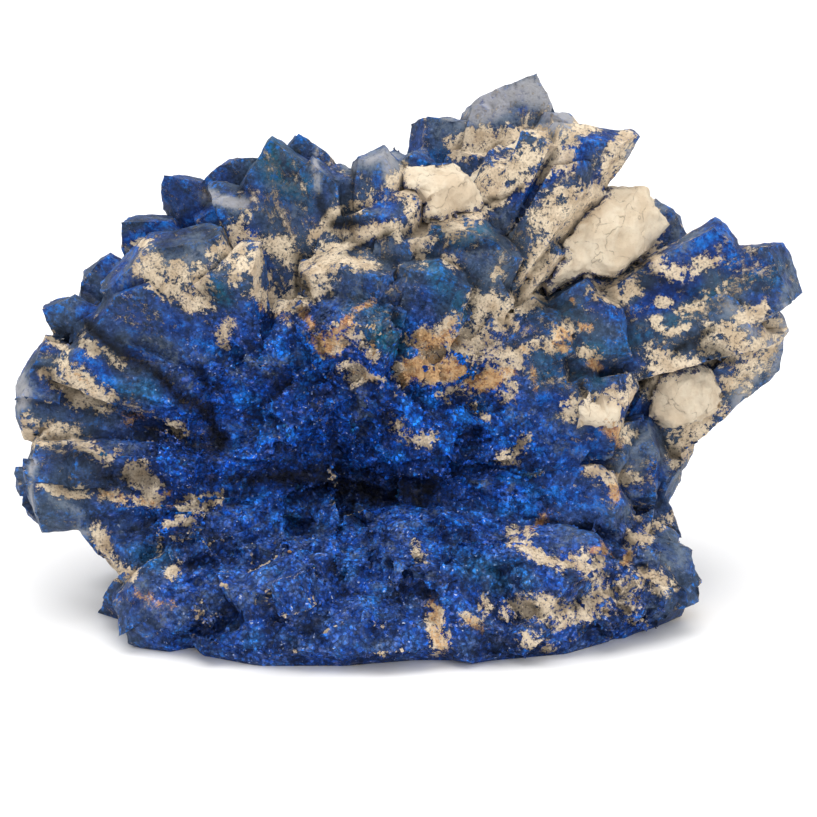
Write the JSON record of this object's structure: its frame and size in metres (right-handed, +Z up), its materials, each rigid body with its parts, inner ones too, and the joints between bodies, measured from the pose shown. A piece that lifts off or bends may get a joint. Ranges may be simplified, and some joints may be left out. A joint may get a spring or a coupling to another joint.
{
  "type": "azurite specimen",
  "caption": "Deep blue azurite crystal rosette: thick tabular blades fanning from a drusy foot, with tan clay packed in the gaps, standing on its flat underside.",
  "frame": {"origin": "middle of the specimen's box, on the plane that it rests on", "axes": "+X to the right along the widest spread of the blades, -Y out of the front where the growth centre is, +Z up"},
  "size_m": [0.0482, 0.0304, 0.0305],
  "materials": {
    "azurite": "glassy faces and sugary fine-grained crusts",
    "clay": "dry, matte, cracked"
  },
  "bodies": {
    "root": {"azurite_rosette": "azurite", "clay_fill_centre": "clay", "clay_fill_right": "clay", "clay_fill_crest": "clay", "clay_fill_lower_right": "clay", "clay_lump_pale": "clay"}
  },
  "joints": []
}
